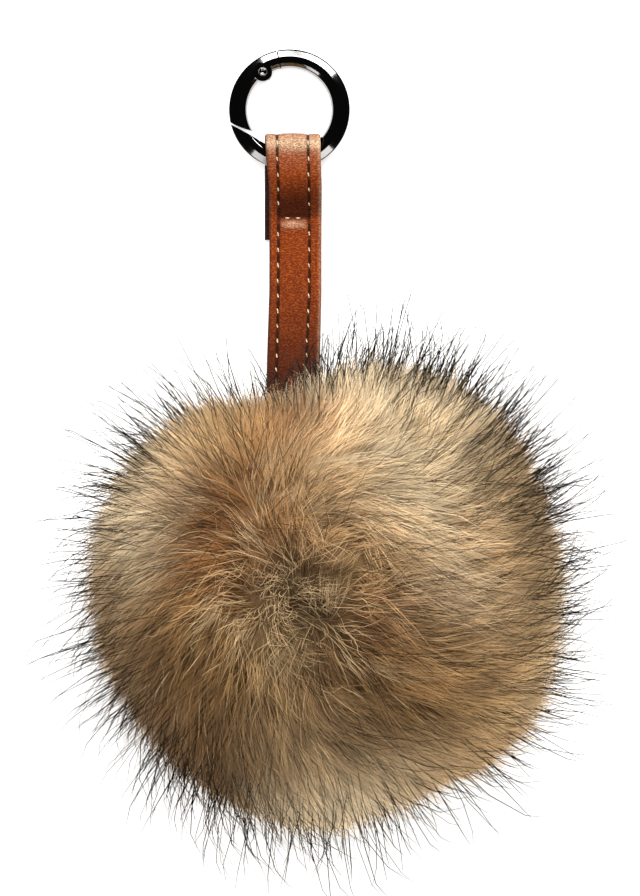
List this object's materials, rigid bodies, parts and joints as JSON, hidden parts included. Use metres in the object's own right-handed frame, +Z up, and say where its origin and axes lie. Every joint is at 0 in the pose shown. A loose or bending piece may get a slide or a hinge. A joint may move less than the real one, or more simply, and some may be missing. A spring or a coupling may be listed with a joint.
{
  "type": "fur pom pom bag charm",
  "caption": "Fluffy long-haired fur pom pom on a folded stitched leather strap with a spring gate ring, lying on its back.",
  "frame": {"origin": "middle of the flat spot under the fur ball, on the surface that the charm lies on", "axes": "+Z up off the surface, +Y from the ball along the strap to the ring, +X to the right as seen from above"},
  "size_m": [0.1651, 0.2314, 0.128],
  "materials": {
    "fur": "long pile fur, tan and cream with dark tips",
    "leather": "fine grained, satin",
    "thread": "cream sewing thread",
    "dark_metal": "polished gunmetal"
  },
  "bodies": {
    "charm": {"fur_ball": "fur", "strap": "leather", "ring_body": "dark_metal", "gate_rivet": "dark_metal"},
    "gate": {"ring_gate": "dark_metal"}
  },
  "joints": [
    {"name": "gate_hinge", "type": "hinge", "parent": "charm", "child": "gate", "pos_m": [-0.01763, 0.14828, 0.00258], "axis": [0, 0.0566, 0.9984], "range_deg": [0, 32], "stiffness_Nm_per_rad": 0.02, "springref_deg": -22.92}
  ]
}
